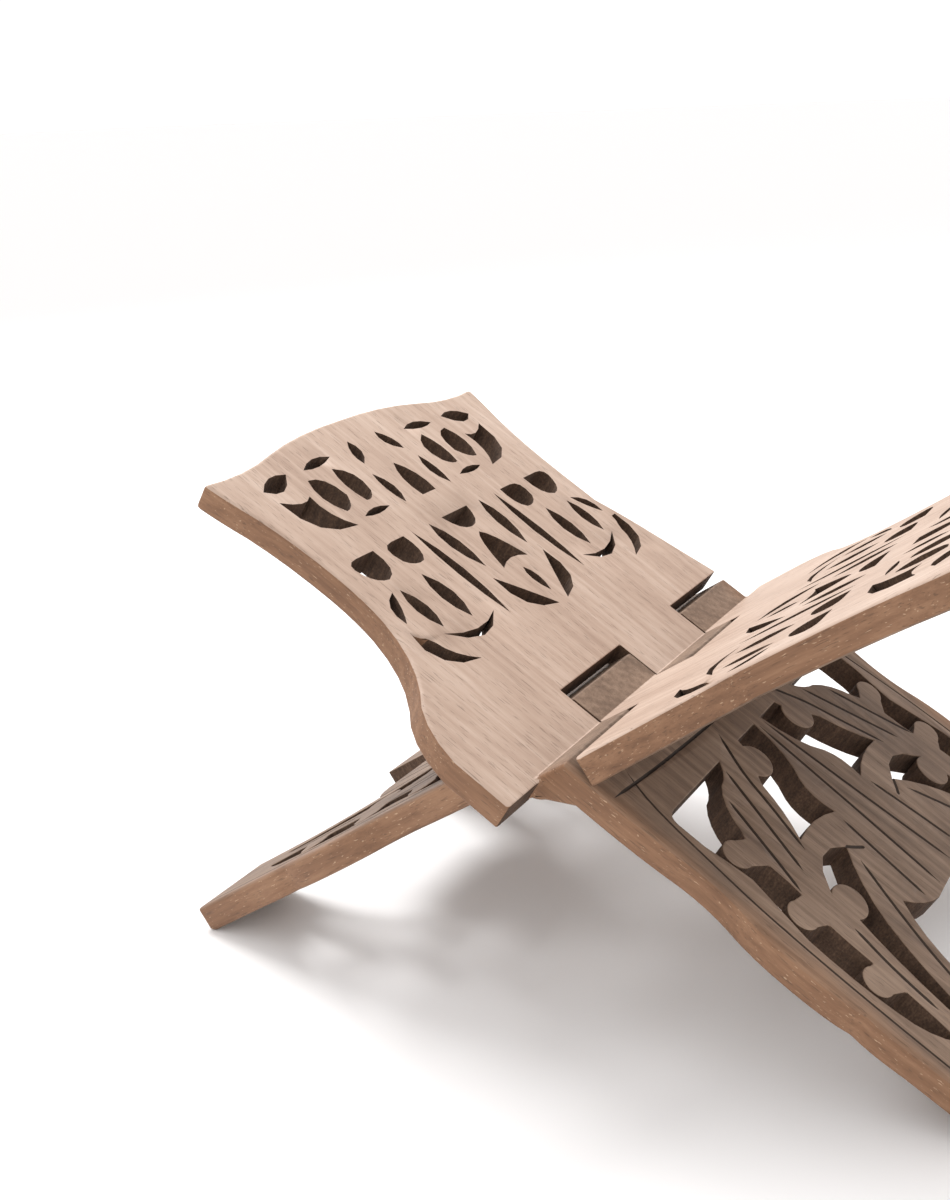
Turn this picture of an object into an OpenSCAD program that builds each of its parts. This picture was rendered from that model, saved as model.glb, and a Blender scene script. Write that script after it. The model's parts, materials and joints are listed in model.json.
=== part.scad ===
// Folding book stand carved from one wooden plank. Two pierced leaves cross like
// an X and turn on knuckles cut in the wood itself, with no pin, glue or metal.
// X runs across the opening, Y along the hinge line and Z up from the floor.

/* [Plank] */
// Length of a leg, from the hinge line to the foot
leg_length = 163; // [158:1:185]
// Length of a book rest, from the hinge line to the middle of its top edge
rest_length = 145; // [143:1:160]
// Thickness of the plank before it is sawn through the middle
plank_thickness = 20; // [16:0.5:24]
// Width of the saw cut that parts the two leaves
saw_cut = 1; // [0.6:0.1:1.6]
// Height worn off the resting edge of each foot
foot_wear = 1; // [0.5:0.1:2]

/* [Opening] */
// Angle between the two book faces when the stand is open
open_angle = 114; // [104:1:124]

/* [Knuckles] */
// Number of knuckles in the row, shared equally by the two leaves
knuckle_count = 4; // [4:2:6]
// Length of the whole row of knuckles
row_length = 166; // [162:1:166]
// Gap between the sides of two neighbouring knuckles
side_gap = 0.5; // [0.4:0.1:0.8]
// Gap left at the stop when the stand is open
stop_gap = 0.4; // [0.3:0.1:0.8]
// Depth of wood under the hinge line
web_depth = 7.5; // [6:0.1:7.7]
// Radius of the rounded underside of a knuckle
barrel_radius = 8; // [7.8:0.1:9]

/* [Ear] */
// Half width of the stand at the ear beside the end knuckle
ear_reach = 100; // [96:1:104]
// How far the ear's shoulder passes the hinge line
ear_drop = 2; // [0:0.5:3]

/* [Carving] */
// How far the arch of the left leg was cut nearer the front than the middle
arch_shift = 6; // [0:0.5:7]
// Straight facets in each curved stroke of the carving
stroke_facets = 4; // [3:1:6]
// Radius of the leaf curls along the edge of a leg
edge_curl = 5.2; // [4.6:0.1:5.3]
// Radius of the large curl in the hooked opening of a leg
hook_curl = 6.4; // [5.6:0.1:6.5]
// Radius of the curl in the central opening of a leg
heart_curl = 6.5; // [5.6:0.1:6.7]

/* [Hidden] */

wood = [0.66, 0.49, 0.37];
tilt = (180 - open_angle) / 2;
half_plank = plank_thickness / 2;
half_cut = saw_cut / 2;
board = half_plank - half_cut;
half_row = row_length / 2;
pitch = row_length / knuckle_count;

// The square end of one leaf lands on the other leaf at this distance.
stop_reach = half_plank / tan(tilt);
board_start = stop_reach + stop_gap;
overlap = 2;
hinge_height = leg_length * sin(tilt) - half_cut * cos(tilt) - foot_wear;

// Where the two book faces meet, and where a knuckle's bevel leaves the leg.
crease = [-half_cut / tan(open_angle / 2), -half_cut];
bevel_top = [crease.x + (half_plank + half_cut) / tan(open_angle), half_plank];

// Distance along the leaf at which its level underside passes an offset.
function web_at(offset) = -(web_depth + offset * cos(tilt)) / sin(tilt);

function bend(a, c, b, t) = (1 - t) * (1 - t) * a + 2 * t * (1 - t) * c + t * t * b;

// A stroke list holds anchor, control, anchor, control and so on, and closes on
// its first anchor. A control of 0 makes that stroke straight.
function stroke_points(list, closed = true) = [
    for (i = [0 : 2 : len(list) - (closed ? 1 : 2)])
        let (a = list[i], c = list[i + 1], b = list[(i + 2) % len(list)])
            each c == 0 ? [a] : [for (k = [0 : stroke_facets - 1]) bend(a, c, b, k / stroke_facets)]
];

function mirrored(points) = [for (i = [len(points) - 1 : -1 : 0]) [-points[i].x, points[i].y]];

module carved(list) {
    polygon(stroke_points(list));
}

module both_sides() {
    children();
    mirror([1, 0]) children();
}

// ---- Outlines: x runs across the board and y away from the hinge line ----

// Right edge of a leg, from the hinge to the foot, in a slow wave.
leg_edge = stroke_points([
    [83, 0], 0,
    [83, 22], [83, 38], [81.2, 52], [80.6, 61], [82.4, 69], [85, 78],
    [85, 91], [85, 105], [82.8, 112], [83.9, 119], [82.4, 130], [81.4, 146],
    [81, leg_length], 0
]);

// Right edge of a book rest on its plain side.
rest_edge = stroke_points([
    [84, board_start], [80.6, 29], [77.6, 42], [74.4, 56], [70, 68], [70, 77],
    [70, 86], [70, 104], [73, 119], [76, 130], [77, rest_length - 7], 0
], false);

// Right edge of a book rest on the side of its ear.
eared_edge = stroke_points([
    [half_row - overlap, board_start], 0,
    [half_row - overlap, -ear_drop], 0,
    [ear_reach, -ear_drop], 0,
    [ear_reach, 18], [ear_reach - 3, 34], [86, 41.5], [76, 51], [72, 67], [70, 76],
    [70, 86], [70, 104], [73, 119], [76, 130], [77, rest_length - 7], 0
], false);

// Right half of the shallow ogee at the top of a book rest.
top_edge = stroke_points([
    [77, rest_length - 7], [60, rest_length - 9], [42, rest_length - 4],
    [24, rest_length + 0.5], [0, rest_length], 0
], false);

module leg_outline() {
    below_start = [for (p = leg_edge) if (p.y > board_start) p];
    right_edge = concat([[83, board_start]], below_start);
    polygon(concat(right_edge, mirrored(right_edge)));
}

module rest_outline() {
    polygon(concat(eared_edge, top_edge, mirrored(top_edge), mirrored(rest_edge)));
}

// ---- Pierced carving of a leg: one side of the middle, doubled by mirroring ----

// A round leaf curl with its stalk, which grows from the stem beside it.
module curl(centre, radius, stalk) {
    translate(centre) circle(r = radius, $fn = 48);
    polygon(concat([centre + [-radius * 0.3, -radius * 0.9], centre + [radius * 0.2, radius * 0.9]], stalk));
}

// Long opening between the stem and the border, with curls that nearly fill it.
module edge_channel() {
    difference() {
        carved([
            [66, 36.4], 0,
            [32.5, 36.4], [36.5, 41], [42, 41.8], [49.5, 45.5],
            [53.5, 54.8], [58, 59], [58, 70], [58, 80],
            [61.5, 88], [62.5, 96], [62.5, 104], [62.8, 122],
            [65, 137], [72, 130], [73, 118], [74.6, 104],
            [73.4, 88], [71, 78], [68.2, 66], [69, 58],
            [70.5, 50], 0,
            [70.5, 40.5], [70.5, 36.4]
        ]);
        curl([63.2, 58.4], edge_curl, [[57, 68], [54, 58]]);
        curl([66, 83], edge_curl, [[59, 92], [57, 80]]);
        curl([67.6, 110], edge_curl, [[61.5, 119], [61, 107]]);
    }
}

// Curved opening beside the central leaf, round one curl.
module heart_opening() {
    curl_centre = [19.5, 44.5];
    difference() {
        carved([
            [3, 36.2], [4.5, 51],
            [12, 59], [15.6, 65],
            [13.5, 73.3], [24, 68.2],
            [37.5, 70], [31, 61.5],
            [27.5, 51], 0,
            [25.3, 48.4], 0,
            curl_centre, 0,
            [16.5, 36.2], 0
        ]);
        translate(curl_centre) circle(r = heart_curl, $fn = 48);
    }
}

// Hooked opening that runs out into a long slot down the foot.
module hook_opening() {
    curl_centre = [46.4, 92];
    difference() {
        carved([
            [25, 82.3], [37, 72.2],
            [49, 86.3], 0,
            curl_centre, 0,
            [50.4, 97], [54.2, 110],
            [56.6, 130], [57, 138],
            [53.4, 138], [49.5, 119],
            [43, 104.5], [36.5, 91.5]
        ]);
        translate(curl_centre) circle(r = hook_curl, $fn = 48);
    }
}

// Half of the cusped arch that parts the two feet of a leg.
module arch_half() {
    past_foot = leg_length + 5;
    carved([
        [0, 114], 0,
        [14, 114], [22.5, 112.5],
        [28.5, 105], [36.5, 115],
        [39.6, 130], [41, 144],
        [41, past_foot], 0,
        [0, past_foot], 0
    ]);
}

module leg_piercing(shift) {
    both_sides() {
        edge_channel();
        heart_opening();
        hook_opening();
    }
    translate([-shift, 0]) both_sides() arch_half();
}

// ---- Pierced carving of a book rest, in two panels with a plain ribbon between ----

// Openings of the lower panel: a corner leaf, an arch over two veins, a long slit,
// a wing at the middle, a side leaf and the leaves that stand on the ribbon.
lower_panel = [
    [[70, 60], [73, 41], [55, 39.5], [63, 45], [64, 52], [66, 56]],
    [[58, 53], [45, 38.5], [31, 51], [44, 45]],
    [[55, 55], [60.5, 64], [55, 73.5], [49, 64]],
    [[41, 53], [47, 64], [41, 75], [33.5, 64]],
    [[26, 47], [29.5, 68], [26, 90.5], [20.5, 70]],
    [[17, 61], [20.5, 43], [3, 40.5], [9, 50]],
    [[66, 62], [68, 71], [58.5, 74], [61, 67]],
    [[61, 84], [64, 90.5], [57, 90.5], 0, [48, 90.5], [47, 80], [54, 78.5], [59, 79]],
    [[42, 82], [45, 90.5], [38, 90.5], 0, [31, 90.5], [29.5, 82], [34, 79], [39, 78]],
    [[14, 66], [21.5, 79], [16, 90.5], [9.5, 80]]
];

// Openings of the upper panel: a hooked leaf in the corner and smaller leaves and buds.
upper_panel = [
    [[60, 121], [61, 101.5], [42, 101.5], [49, 109], [47, 119], [52, 115]],
    [[40, 108], [46, 116], [41, 125], [33, 125], [33, 114], [36, 108]],
    [[36, 103.5], [30, 101], [22, 103.5], [29, 107]],
    [[28, 109], [31, 118], [27, 126], [18, 122], [22, 112], [25, 108]],
    [[14, 102], [17, 110], [14, 118], [8, 110]],
    [[61, 127], [54, 120], [46, 130.5], [54, 134]],
    [[12, 123], [14, 129], [8, 134.5], [4, 128]],
    [[38, 129.5], [31, 127], [22, 131], [30, 135]]
];

// Openings that lie on the middle line of the rest.
middle_openings = [
    [[0, 46], [4, 54], [0, 59], [-4, 54]],
    [[8, 62], [0, 66.5], [-8, 62], [-4, 77], [0, 79], [4, 77]],
    [[8, 90.5], [6, 82], [0, 82], [-6, 82], [-8, 90.5], 0],
    [[4, 102], [6, 112], [0, 119], [-6, 112], [-4, 102], 0]
];

module rest_piercing() {
    both_sides() {
        for (opening = concat(lower_panel, upper_panel)) carved(opening);
    }
    for (opening = middle_openings) carved(opening);
}

// ---- One leaf: x along the leaf, y along the hinge, z square to the board ----

// The half of the plank under the book, with its ear on the far side.
module rest_board() {
    translate([0, 0, -half_plank])
        linear_extrude(board)
            mirror([1, -1]) difference() {
                rest_outline();
                rest_piercing();
            }
}

// The other half of the plank, which runs on past the hinge as the leg.
module leg_board(shift) {
    translate([0, 0, half_cut])
        linear_extrude(board)
            rotate(90) difference() {
                leg_outline();
                leg_piercing(shift);
            }
}

// Section of a knuckle, square to the hinge line, which passes through the origin.
module knuckle_section() {
    grip = board_start + overlap;
    far = 3 * plank_thickness;
    polygon([
        [grip, -half_cut], crease, bevel_top, [-grip, half_plank],
        [-grip, half_cut], [web_at(half_cut), half_cut],
        [web_at(-half_plank), -half_plank], [grip, -half_plank]
    ]);
    difference() {
        circle(r = barrel_radius, $fn = 72);
        polygon([
            crease, crease + [far, 0], [far, far], [-far, far],
            crease + far * [cos(open_angle), sin(open_angle)]
        ]);
    }
}

// Every second place in the row holds a knuckle of this leaf, the last at its ear.
module knuckles() {
    for (i = [1 : 2 : knuckle_count - 1]) {
        low = -half_row + i * pitch + side_gap / 2;
        high = -half_row + (i + 1) * pitch - (i == knuckle_count - 1 ? 0 : side_gap / 2);
        translate([0, high, 0])
            rotate([90, 0, 0])
                linear_extrude(high - low) knuckle_section();
    }
}

module leaf(shift) {
    difference() {
        translate([0, 0, hinge_height])
            rotate([0, -tilt, 0])
                union() {
                    rest_board();
                    leg_board(shift);
                    knuckles();
                }
        floor_side = 4 * leg_length;
        translate([-floor_side / 2, -floor_side / 2, -floor_side])
            cube(floor_side);
    }
}

// Leaf with the right book rest and the left leg.
module right_rest_leaf() {
    color(wood) leaf(arch_shift);
}

// Leaf with the left book rest and the right leg, cut from the same plank.
module left_rest_leaf() {
    color(wood) rotate([0, 0, 180]) leaf(0);
}

left_rest_leaf();
right_rest_leaf();
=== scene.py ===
"""A folding wooden book stand: two pierced leaves cut from one plank, crossed on
knuckles carved in the wood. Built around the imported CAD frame, in metres."""

import json
import math

import bmesh
import bpy
from mathutils import Matrix, Vector


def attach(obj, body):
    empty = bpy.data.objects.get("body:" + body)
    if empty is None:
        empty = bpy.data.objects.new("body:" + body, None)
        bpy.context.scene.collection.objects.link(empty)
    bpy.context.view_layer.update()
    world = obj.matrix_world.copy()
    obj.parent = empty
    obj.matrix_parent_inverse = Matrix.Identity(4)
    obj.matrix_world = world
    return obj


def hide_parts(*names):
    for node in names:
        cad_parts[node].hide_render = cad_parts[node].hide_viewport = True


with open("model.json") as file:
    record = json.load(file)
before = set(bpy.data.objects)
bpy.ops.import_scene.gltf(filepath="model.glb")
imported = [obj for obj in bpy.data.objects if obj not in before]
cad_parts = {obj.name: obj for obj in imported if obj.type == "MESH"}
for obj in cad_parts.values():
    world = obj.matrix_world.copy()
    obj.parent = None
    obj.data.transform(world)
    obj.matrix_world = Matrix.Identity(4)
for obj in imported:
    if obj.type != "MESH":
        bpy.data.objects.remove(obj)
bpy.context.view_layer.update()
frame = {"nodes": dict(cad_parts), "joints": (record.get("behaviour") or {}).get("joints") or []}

# ---- The plank, sawn and pierced ------------------------------------------------
# Each leaf is half the thickness of one hardwood plank along its book rest and the
# other half along its leg. The outline and the piercing are sawn through, and the
# arrises are then rubbed down: well rounded outside, only just eased in the carving.

MM = 0.001
joint = frame["joints"][0]
open_angle = math.radians(joint["range_deg"][1])
tilt = (math.pi - open_angle) / 2
hinge = Vector(joint["pos_m"])
half_plank = 10 * MM
leg_length = 163 * MM
rest_length = 145 * MM

# For each leaf, the turn and place that take the board's own axes to the stand's:
# x along the board towards the book rest, y along the hinge, z square to the board.
lay_up = Matrix.Translation(hinge) @ Matrix.Rotation(-tilt, 4, "Y")
placing = {
    "right_rest_leaf": lay_up,
    "left_rest_leaf": Matrix.Rotation(math.pi, 4, "Z") @ lay_up,
}


def sawn_board(node):
    """The leaf's mesh in the board's own axes, welded and with its flat faces whole."""
    mesh = frame["nodes"][node].data.copy()
    mesh.transform(placing[node].inverted())
    board = bmesh.new()
    board.from_mesh(mesh)
    bpy.data.meshes.remove(mesh)
    bmesh.ops.remove_doubles(board, verts=board.verts, dist=0.002 * MM)
    bmesh.ops.dissolve_limit(
        board, angle_limit=math.radians(0.6), verts=board.verts, edges=board.edges
    )
    return board


# Half widths outside which a wall that faces outwards belongs to the outline, and the
# depth of the wavy top of a rest.
rest_inner_reach = 66 * MM
leg_inner_reach = 78 * MM
top_wave = 12 * MM


def faces_outward(normal, centre):
    """True on the two long sides of a leaf."""
    outward = normal.y * (1 if centre.y > 0 else -1)
    reach = rest_inner_reach if centre.x > 0 else leg_inner_reach
    return outward > 0.3 and abs(centre.y) > reach


def is_outside_wall(face):
    """True on the walls round the outside of the leaf, and not on those of the piercing."""
    centre = face.calc_center_median()
    top_end = face.normal.x > 0.5 and centre.x > rest_length - top_wave
    return faces_outward(face.normal, centre) or top_end


def mark_arrises(board, eased=0.3, sharpest=math.radians(34)):
    """Gives each sharp edge its share of the full rounding. The small openings of the rests
    stay crisp, because their points are too fine to be eased."""
    share = board.edges.layers.float.new("bevel_weight_edge")
    for edge in board.edges:
        if len(edge.link_faces) == 2 and edge.calc_face_angle() > sharpest:
            outside = any(is_outside_wall(face) for face in edge.link_faces)
            in_rest = edge.verts[0].co.x > 20 * MM
            edge[share] = 1.0 if outside else 0.0 if in_rest else eased


def applied(piece):
    """Makes the modifiers' result the piece's own mesh."""
    seen = piece.evaluated_get(bpy.context.evaluated_depsgraph_get())
    mesh = bpy.data.meshes.new_from_object(seen)
    piece.modifiers.clear()
    piece.data = mesh


def rubbed_leaf(node, name):
    board = sawn_board(node)
    mark_arrises(board)
    mesh = bpy.data.meshes.new(name)
    board.to_mesh(mesh)
    board.free()
    leaf = bpy.data.objects.new(name, mesh)
    bpy.context.scene.collection.objects.link(leaf)
    rounding = leaf.modifiers.new("arris", "BEVEL")
    rounding.limit_method = "WEIGHT"
    rounding.width = 1.4 * MM
    rounding.segments = 3
    rounding.use_clamp_overlap = False
    applied(leaf)
    return leaf


leaves = {
    "left_rest_leaf": rubbed_leaf("left_rest_leaf", "left_rest_carved"),
    "right_rest_leaf": rubbed_leaf("right_rest_leaf", "right_rest_carved"),
}

# ---- V-tool cuts ---------------------------------------------------------------
# The veins of the leaves, the border line and the line across the shoulder are cut
# in the outer faces of the plank with a V-shaped gouge, each in one long stroke that
# starts and ends shallow.


def v_tool_tree():
    """Geometry Nodes: sweeps a square set on its corner along each drawn stroke."""
    tree = bpy.data.node_groups.new("v_tool_cut", "GeometryNodeTree")
    face = tree.interface
    face.new_socket("Strokes", in_out="INPUT", socket_type="NodeSocketGeometry")
    face.new_socket("Cut Depth", in_out="INPUT", socket_type="NodeSocketFloat")
    face.new_socket("Run Out", in_out="INPUT", socket_type="NodeSocketFloat")
    face.new_socket("Points", in_out="INPUT", socket_type="NodeSocketInt")
    face.new_socket("Cut Walls", in_out="INPUT", socket_type="NodeSocketMaterial")
    face.new_socket("Cutters", in_out="OUTPUT", socket_type="NodeSocketGeometry")

    def add(kind, **settings):
        node = tree.nodes.new(kind)
        for key, value in settings.items():
            setattr(node, key, value)
        return node

    def join(source, output, target, place):
        tree.links.new(source.outputs[output], target.inputs[place])

    given = add("NodeGroupInput")
    smooth = add("GeometryNodeCurveSplineType", spline_type="CATMULL_ROM")
    resample = add("GeometryNodeResampleCurve")
    along = add("GeometryNodeSplineParameter")
    from_end = add("ShaderNodeMath", operation="SUBTRACT")
    from_end.inputs[0].default_value = 1.0
    nearer = add("ShaderNodeMath", operation="MINIMUM")
    ramp = add("ShaderNodeMath", operation="DIVIDE")
    capped = add("ShaderNodeMath", operation="MINIMUM")
    capped.inputs[1].default_value = 1.0
    lifted = add("ShaderNodeMath", operation="MAXIMUM")
    lifted.inputs[1].default_value = 0.12
    depth = add("ShaderNodeMath", operation="MULTIPLY")
    radius = add("GeometryNodeSetCurveRadius")
    profile = add("GeometryNodeCurvePrimitiveCircle")
    profile.inputs["Resolution"].default_value = 4
    profile.inputs["Radius"].default_value = 1.0
    sweep = add("GeometryNodeCurveToMesh")
    sweep.inputs["Fill Caps"].default_value = True
    realize = add("GeometryNodeRealizeInstances")
    paint = add("GeometryNodeSetMaterial")
    result = add("NodeGroupOutput")

    join(given, "Strokes", smooth, "Curve")
    join(smooth, "Curve", resample, "Curve")
    join(given, "Points", resample, "Count")
    join(along, "Factor", from_end, 1)
    join(along, "Factor", nearer, 0)
    join(from_end, 0, nearer, 1)
    join(nearer, 0, ramp, 0)
    join(given, "Run Out", ramp, 1)
    join(ramp, 0, capped, 0)
    join(capped, 0, lifted, 0)
    join(lifted, 0, depth, 0)
    join(given, "Cut Depth", depth, 1)
    join(resample, "Curve", radius, "Curve")
    join(depth, 0, radius, "Radius")
    join(radius, "Curve", sweep, "Curve")
    join(profile, "Curve", sweep, "Profile Curve")
    join(depth, 0, sweep, "Scale")
    join(sweep, "Mesh", realize, "Geometry")
    join(realize, "Geometry", paint, "Geometry")
    join(given, "Cut Walls", paint, "Material")
    join(paint, "Geometry", result, "Cutters")
    return tree


v_tool = v_tool_tree()

# Strokes of one side, in millimetres: across from the middle line, then away from
# the hinge. Each is cut on both sides of the middle.
leg_veins = [
    [(45.8, 46.5), (54, 68.5), (58.2, 79)],
    [(34.6, 40), (42, 58), (49.5, 76)],
    [(21, 30.5), (29, 44), (34, 57), (40.5, 73)],
    [(1.9, 38), (4.7, 78), (7.6, 112)],
    [(14.5, 77), (16.8, 95), (18.5, 110)],
    [(26, 88), (33, 102), (40, 118), (45, 133)],
    [(25.5, 82), (22, 84.8), (18.8, 87)],
    [(55.5, 97), (58.6, 112), (60.2, 128)],
]
rest_veins = [
    [(31.5, 56), (32.6, 66), (31, 75)],
    [(47.9, 56), (48.3, 65), (47, 76)],
    [(19.5, 64), (21.2, 75), (19.6, 88)],
]
leg_border = [[
    (67, 19), (70.2, 27), (72.6, 38), (74.8, 56),
    (76.6, 74), (77.5, 100), (77.4, 130), (76.6, 163),
]]
rest_border = [[
    (69, 26), (69, 34), (72, 42), (70.3, 56),
    (65.8, 70), (65.3, 96), (68, 118), (71.4, 136),
]]
ribbon = [[(-62, 95.5), (0, 96.5), (62, 95.5)]]
shoulder = [[(-80, 22), (-50, 24.6), (0, 26.6), (50, 24.6), (80, 22)]]

# The cut walls keep this material until the leaf is finished, so they can be told apart.
vein_walls = bpy.data.materials.new("vein_walls")
# Depth of a cut against half its width.
steepness = 1.7


def v_cuts(strokes, place, both_sides, depth, run_out, points=30):
    """The swept cutters of a list of strokes, laid on an outer face by the matrix place."""
    drawn = bpy.data.curves.new("strokes", "CURVE")
    drawn.dimensions = "3D"
    for side in (1, -1) if both_sides else (1,):
        for stroke in strokes:
            spline = drawn.splines.new("POLY")
            spline.points.add(len(stroke) - 1)
            for point, (across, away) in zip(spline.points, stroke):
                point.co = (side * across * MM, away * MM, 0, 1)
    cutter = bpy.data.objects.new("v_cutter", drawn)
    bpy.context.scene.collection.objects.link(cutter)
    sweep = cutter.modifiers.new("v_tool", "NODES")
    sweep.node_group = v_tool
    values = {
        "Cut Depth": depth * MM,
        "Run Out": run_out,
        "Points": points,
        "Cut Walls": vein_walls,
    }
    for item in v_tool.interface.items_tree:
        if item.in_out == "INPUT" and item.name in values:
            sweep[item.identifier] = values[item.name]
    seen = cutter.evaluated_get(bpy.context.evaluated_depsgraph_get())
    mesh = bpy.data.meshes.new_from_object(seen)
    bpy.data.objects.remove(cutter)
    mesh.transform(place @ Matrix.Diagonal((1, 1, steepness, 1)))
    return mesh


# From a drawing, x across and y away from the hinge, to the two outer faces.
on_leg = Matrix.Translation((0, 0, half_plank)) @ Matrix.Rotation(math.pi / 2, 4, "Z")
on_rest_back = Matrix(((0, 1, 0, 0), (1, 0, 0, 0), (0, 0, -1, -half_plank), (0, 0, 0, 1)))


def cut_veins(leaf):
    """Takes every V-tool stroke out of the leaf. The strokes of one pass never cross."""
    passes = [
        (leg_veins, on_leg, True, 0.62, 0.08),
        (leg_border, on_leg, True, 0.4, 0.04),
        (shoulder, on_leg, False, 0.55, 0.03),
        (rest_veins, on_rest_back, True, 0.6, 0.1),
        (rest_border, on_rest_back, True, 0.4, 0.04),
        (ribbon, on_rest_back, False, 0.5, 0.03),
    ]
    for strokes, place, both_sides, depth, run_out in passes:
        tool = bpy.data.objects.new("v_tool", v_cuts(strokes, place, both_sides, depth, run_out))
        bpy.context.scene.collection.objects.link(tool)
        cut = leaf.modifiers.new("cut", "BOOLEAN")
        cut.operation = "DIFFERENCE"
        cut.solver = "MANIFOLD"
        cut.material_mode = "TRANSFER"
        cut.object = tool
        applied(leaf)
        bpy.data.objects.remove(tool)


for leaf in leaves.values():
    cut_veins(leaf)

# ---- The wood ------------------------------------------------------------------
# An open-grained brown hardwood with a thin coat of oil. The book faces are pale,
# the outer faces carry painted shade as a darker greyish brown, and the sawn walls of
# the piercing are rough and dark. The grain runs along each board.


class Wood:
    """One socket of the wood's node tree, so that sums on it can be written as sums."""

    tree = None

    def __init__(self, socket):
        self.socket = socket

    @classmethod
    def make(cls, kind, settings=None, inputs=None, output=0):
        node = cls.tree.nodes.new(kind)
        for key, value in (settings or {}).items():
            if key == "stops":
                ramp = node.color_ramp
                while len(ramp.elements) < len(value):
                    ramp.elements.new(0.5)
                for element, (position, colour) in zip(ramp.elements, value):
                    element.position = position
                    element.color = (*colour, 1)
            else:
                setattr(node, key, value)
        for key, value in (inputs or {}).items():
            if isinstance(value, Wood):
                cls.tree.links.new(value.socket, node.inputs[key])
            else:
                node.inputs[key].default_value = value
        return cls(node.outputs[output])

    def sum(self, operation, *others):
        inputs = {i: value for i, value in enumerate((self, *others))}
        return Wood.make("ShaderNodeMath", {"operation": operation}, inputs)

    def __add__(self, other):
        return self.sum("ADD", other)

    __radd__ = __add__

    def __mul__(self, other):
        return self.sum("MULTIPLY", other)

    __rmul__ = __mul__

    def __sub__(self, other):
        return self.sum("SUBTRACT", other)

    def __rsub__(self, other):
        return Wood.make("ShaderNodeMath", {"operation": "SUBTRACT"}, {0: other, 1: self})

    def between(self, low, high):
        """0 below low, 1 above high, and smooth from one to the other."""
        return Wood.make(
            "ShaderNodeMapRange",
            {"interpolation_type": "SMOOTHSTEP"},
            {"Value": self, "From Min": low, "From Max": high},
        )

    def noise(self, stretch, detail=3.0, roughness=0.55, offset=(0, 0, 0)):
        """Noise on the board's coordinates: stretch is lumps a metre along, across, through."""
        place = Wood.make(
            "ShaderNodeMapping", {}, {"Vector": self, "Scale": stretch, "Location": offset}
        )
        return Wood.make(
            "ShaderNodeTexNoise",
            {},
            {"Vector": place, "Scale": 1.0, "Detail": detail, "Roughness": roughness},
        )

    def mixed(self, first, second, blend="MIX"):
        """Colours first and second, mixed by this socket."""
        return Wood.make(
            "ShaderNodeMix",
            {"data_type": "RGBA", "blend_type": blend},
            {0: self, 6: first, 7: second},
            output=2,
        )


def attribute(name, output):
    return Wood.make("ShaderNodeAttribute", {"attribute_name": name}, output=output)


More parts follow.
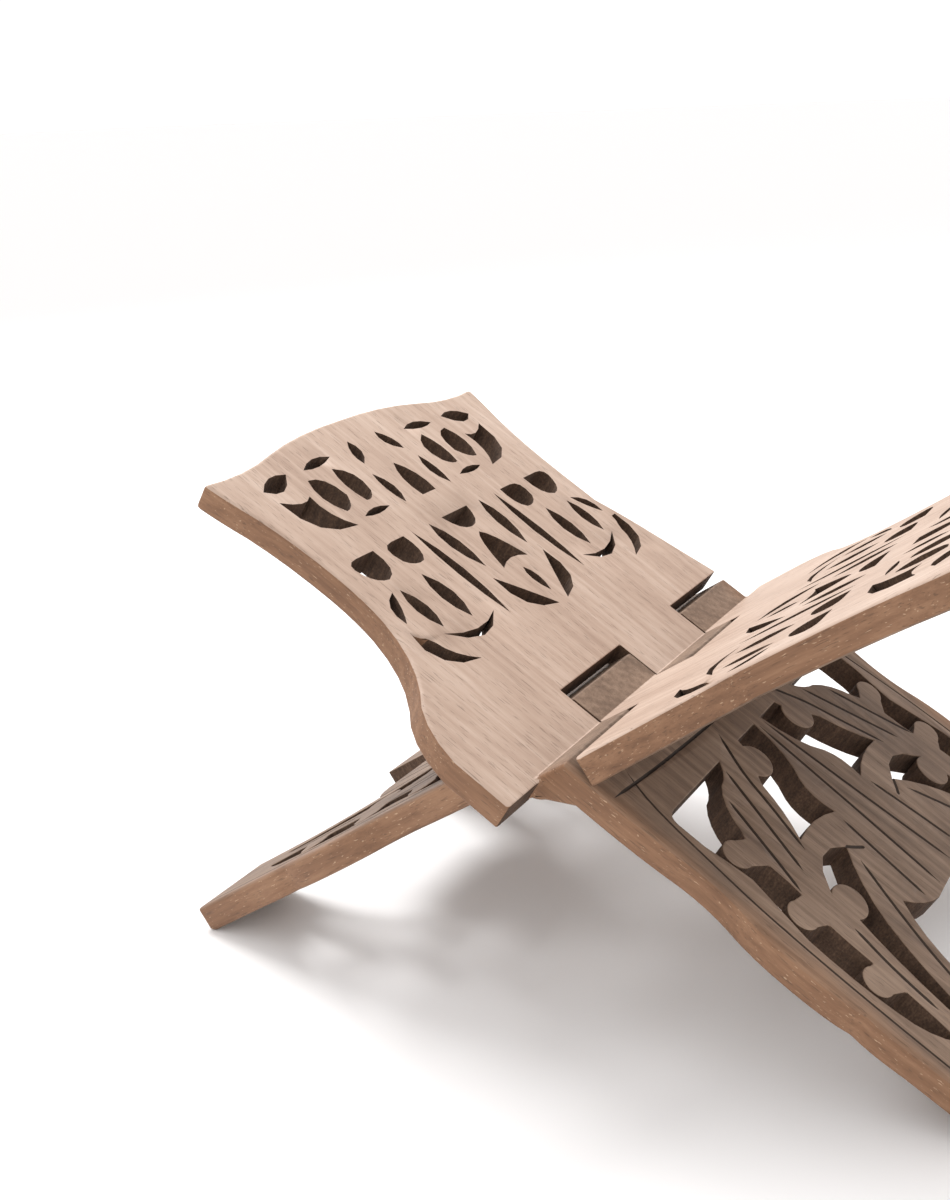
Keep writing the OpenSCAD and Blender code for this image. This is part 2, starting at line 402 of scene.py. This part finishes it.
def carved_wood():
    material = bpy.data.materials.new("carved_wood")
    material.use_nodes = True
    tree = material.node_tree
    tree.nodes.clear()
    Wood.tree = tree
    board = attribute("board", "Vector")
    sawn = attribute("sawn_wall", "Fac")
    outer = attribute("outer_face", "Fac")
    edge = attribute("side_edge", "Fac")
    vein = attribute("vein", "Fac")

    # Figure: slow patches, growth lines bent by them, fine fibres and open pores.
    patches = board.noise((9, 40, 40), detail=2.0)
    across = Wood.make("ShaderNodeSeparateXYZ", {}, {0: board}, "Y")
    through = Wood.make("ShaderNodeSeparateXYZ", {}, {0: board}, "Z")
    warp = board.noise((6, 22, 22), detail=3.0, offset=(3, 1, 7))
    rings = across * 0.95 + through * 0.8 + warp * 0.02
    growth = (rings * 1300.0 + patches * 7.0).sum("SINE") * 0.5 + 0.5
    fibres = board.noise((95, 2600, 2600), detail=2.0, roughness=0.6)
    strands = board.noise((22, 480, 480), detail=4.0, roughness=0.65, offset=(2, 5, 1))
    mottle = board.noise((60, 90, 90), detail=3.0, offset=(4, 4, 9))
    pores = board.noise((150, 2100, 2100), detail=1.0, offset=(9, 4, 2)).between(0.62, 0.72)
    flecks = board.noise((420, 2300, 2300), detail=1.0, offset=(1, 8, 3)).between(0.66, 0.76)
    tone = patches * 0.38 + growth * 0.05 + strands * 0.36 + fibres * 0.16 + mottle * 0.16

    def ramp(dark, middle, light, along=tone):
        stops = [(0.38, dark), (0.55, middle), (0.74, light)]
        return Wood.make("ShaderNodeValToRGB", {"stops": stops}, {"Fac": along})

    book_face = ramp((0.36, 0.245, 0.185), (0.47, 0.34, 0.265), (0.60, 0.465, 0.38))
    # The outer faces are painted a darker greyish brown than the book faces: painted shade.
    painted_shade_face = ramp((0.098, 0.060, 0.040), (0.205, 0.134, 0.092), (0.345, 0.240, 0.172))
    warm_edge = ramp((0.128, 0.062, 0.033), (0.228, 0.118, 0.064), (0.345, 0.195, 0.112))
    saw_marks = board.noise((620, 620, 90), detail=4.0)
    torn_specks = board.noise((1700, 1700, 1100), detail=2.0)
    wall_tone = tone * 0.3 + saw_marks * 0.35 + torn_specks * 0.35
    wall_colours = ((0.038, 0.021, 0.013), (0.088, 0.050, 0.031), (0.185, 0.112, 0.07))
    rough_wall = ramp(*wall_colours, wall_tone)
    # The outer faces, painted darker as painted shade, are rubbed back to a warmer brown along their
    # outer borders.
    border = across.sum("ABSOLUTE") + mottle * 0.008
    rubbed = border.between(0.0785, 0.0885)
    colour = outer.mixed(book_face, (rubbed * 0.75).mixed(painted_shade_face, warm_edge))
    colour = edge.mixed(colour, warm_edge)
    colour = sawn.mixed(colour, rough_wall)
    # The walls of the V-cuts are painted nearly black: painted shade deep in the grooves.
    colour = (vein * 0.9).mixed(colour, (0.022, 0.013, 0.009, 1))
    colour = (pores * 0.42).mixed(colour, (0.07, 0.040, 0.026, 1))
    colour = (flecks * (edge * 0.42 + 0.05)).mixed(colour, (0.70, 0.50, 0.33, 1))

    # Chisel chatter runs through the board on the sawn walls only.
    chatter = board.noise((640, 640, 45), detail=3.0, roughness=0.7)
    torn = board.noise((1500, 1500, 500), detail=2.0)
    surface = fibres * 0.35 + strands * 0.3 - pores * 0.8
    height = surface + sawn * (chatter * 5.0 + torn * 2.0)
    normal = Wood.make("ShaderNodeBump", {}, {"Height": height, "Strength": 0.55, "Distance": 0.00018})
    rough = 0.5 + fibres * 0.16 + sawn * 0.25 + outer * 0.06
    surface_node = Wood.make(
        "ShaderNodeBsdfPrincipled",
        {},
        {"Base Color": colour, "Roughness": rough, "Normal": normal, "Specular IOR Level": 0.35},
    )
    out = tree.nodes.new("ShaderNodeOutputMaterial")
    tree.links.new(surface_node.socket, out.inputs["Surface"])
    return material


wood = carved_wood()


def in_triangles(mesh):
    """Splits every face into triangles, so that none of them is bent or has a slit."""
    board = bmesh.new()
    board.from_mesh(mesh)
    bmesh.ops.triangulate(board, faces=board.faces)
    board.to_mesh(mesh)
    board.free()


def finish_leaf(node, leaf):
    """Stores what the wood's shading needs, then lays the leaf in the stand."""
    mesh = leaf.data
    in_triangles(mesh)
    vein_slots = {i for i, given in enumerate(mesh.materials) if given == vein_walls}
    board = mesh.attributes.new("board", "FLOAT_VECTOR", "POINT")
    for vertex in mesh.vertices:
        board.data[vertex.index].vector = vertex.co
    names = ("sawn_wall", "outer_face", "side_edge", "vein")
    for name in names:
        mesh.attributes.new(name, "FLOAT", "FACE")
    marks = {name: mesh.attributes[name] for name in names}
    for face in mesh.polygons:
        side_on = abs(face.normal.z) < 0.3
        past_ends = not 2 * MM - leg_length <= face.center.x <= rest_length - top_wave
        end = abs(face.normal.x) > 0.8 and past_ends
        edge = side_on and (faces_outward(face.normal, face.center) or end)
        marks["side_edge"].data[face.index].value = 1.0 if edge else 0.0
        marks["sawn_wall"].data[face.index].value = 1.0 if side_on and not edge else 0.0
        book_side = face.normal.z > 0.5 and face.center.z < 0
        marks["outer_face"].data[face.index].value = 0.0 if book_side else 1.0
        marks["vein"].data[face.index].value = 1.0 if face.material_index in vein_slots else 0.0
        face.material_index = 0
    mesh.materials.clear()
    mesh.materials.append(wood)
    mesh.transform(placing[node])
    mesh.update()
    for face in mesh.polygons:
        face.use_smooth = True
    mesh.set_sharp_from_angle(angle=math.radians(38))
    weighted = leaf.modifiers.new("flat_faces_lead", "WEIGHTED_NORMAL")
    weighted.keep_sharp = True
    weighted.weight = 80
    applied(leaf)
    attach(leaf, node)
    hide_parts(node)


for node, leaf in leaves.items():
    finish_leaf(node, leaf)

# ---- Floor, light and camera ------------------------------------------------------
# A plain white studio floor, one broad soft light high on the left behind the stand,
# a weaker one in front, and a white room all round.


def plain_surface(name, colour, roughness):
    material = bpy.data.materials.new(name)
    material.use_nodes = True
    shader = material.node_tree.nodes["Principled BSDF"]
    shader.inputs["Base Color"].default_value = (*colour, 1)
    shader.inputs["Roughness"].default_value = roughness
    return material


def floor_sheet(half=30.0):
    mesh = bpy.data.meshes.new("floor")
    corners = [(-half, -half, 0), (half, -half, 0), (half, half, 0), (-half, half, 0)]
    mesh.from_pydata(corners, [], [(0, 1, 2, 3)])
    mesh.materials.append(plain_surface("floor", (0.93, 0.92, 0.92), 0.6))
    floor = bpy.data.objects.new("floor", mesh)
    bpy.context.scene.collection.objects.link(floor)


def soft_light(name, place, target, side, watts):
    data = bpy.data.lights.new(name, "AREA")
    data.shape = "SQUARE"
    data.size = side
    data.energy = watts
    light = bpy.data.objects.new(name, data)
    light.location = place
    light.rotation_euler = (Vector(target) - Vector(place)).to_track_quat("-Z", "Y").to_euler()
    bpy.context.scene.collection.objects.link(light)


floor_sheet()
soft_light("key", (-0.70, 0.30, 0.95), (0, 0, 0.05), 0.55, 11.0)
soft_light("fill", (0.5, -1.2, 0.7), (0, 0, 0.08), 0.9, 1.0)

world = bpy.data.worlds.new("studio")
world.use_nodes = True
world.node_tree.nodes["Background"].inputs["Color"].default_value = (1, 0.99, 0.985, 1)
world.node_tree.nodes["Background"].inputs["Strength"].default_value = 1.08
bpy.context.scene.world = world
bpy.context.scene.view_settings.view_transform = "Standard"

camera_data = bpy.data.cameras.new("camera")
camera_data.sensor_width = 36
camera_data.lens = 42.6
camera_data.shift_x = -0.104
camera = bpy.data.objects.new("camera", camera_data)
right = Vector((0.890, 0.454, -0.039)).normalized()
down = Vector((0.119, -0.314, -0.942))
down = (down - right * down.dot(right)).normalized()
back = right.cross(-down)
turn = Matrix((right, -down, back)).transposed().to_4x4()
camera.matrix_world = Matrix.Translation(hinge + Vector((0.1894, -0.3977, 0.1823))) @ turn
bpy.context.scene.collection.objects.link(camera)
bpy.context.scene.camera = camera
